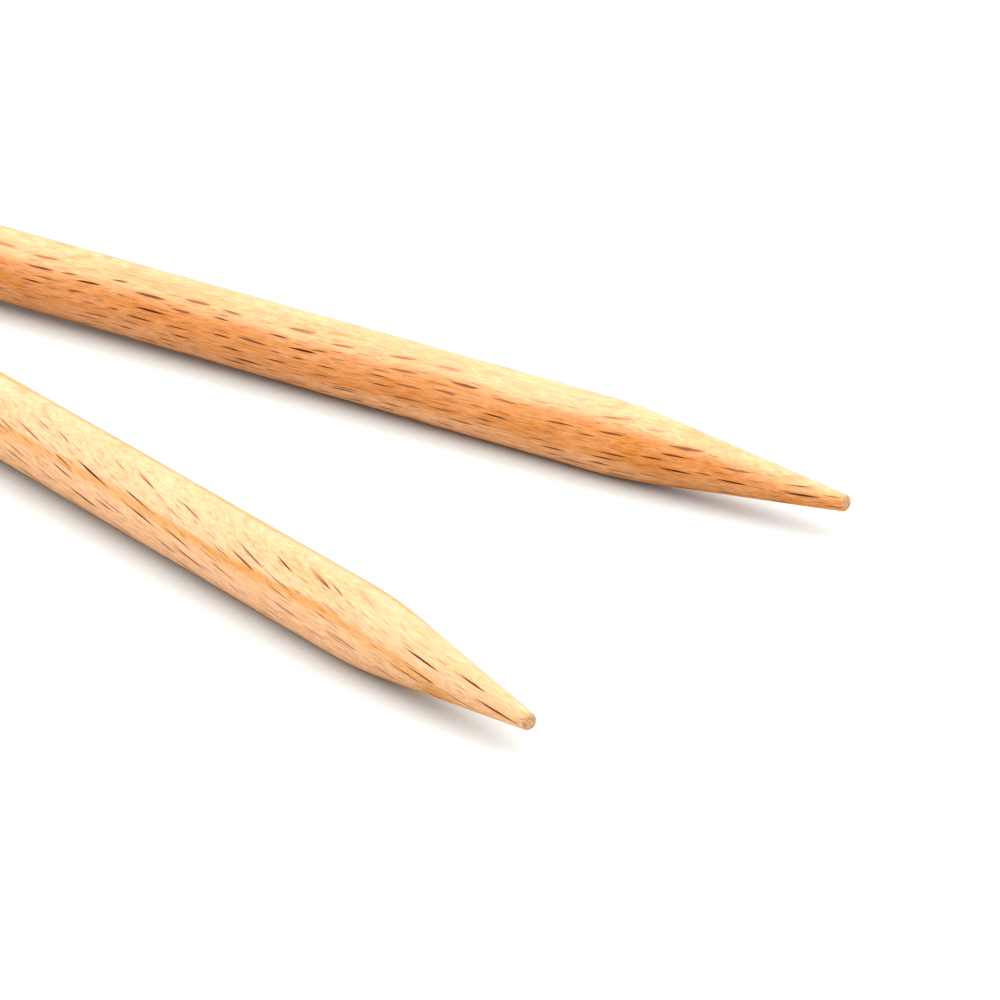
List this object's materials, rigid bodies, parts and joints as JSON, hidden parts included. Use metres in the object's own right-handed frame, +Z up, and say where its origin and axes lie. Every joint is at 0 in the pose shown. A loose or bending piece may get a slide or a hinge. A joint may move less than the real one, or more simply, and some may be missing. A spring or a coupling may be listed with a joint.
{
  "type": "straight knitting needles",
  "caption": "Straight single-pointed knitting needles: round beech shafts with long tapers and blunt tips, and turned beech knobs glued on their ends, lying spread apart on a surface.",
  "frame": {"origin": "middle of the footprint of the two needles, on the surface they lie on", "axes": "+X from the heads towards the tips, along the middle of the spread; +Y towards the back needle; +Z up"},
  "size_m": [0.28, 0.0832, 0.0125],
  "materials": {
    "pale_beech": "sanded and lightly waxed, satin",
    "warm_beech": "sanded and lightly waxed, satin",
    "knob_beech": "sanded and lightly waxed, satin"
  },
  "bodies": {
    "front_needle": {"front_shaft": "pale_beech", "front_knob": "knob_beech"},
    "back_needle": {"back_shaft": "warm_beech", "back_knob": "knob_beech"}
  },
  "joints": [
    {"name": "back_needle_lift", "type": "slide", "parent": "front_needle", "child": "back_needle", "axis": [0, 0, 1], "range_m": [0, 0.08]}
  ]
}
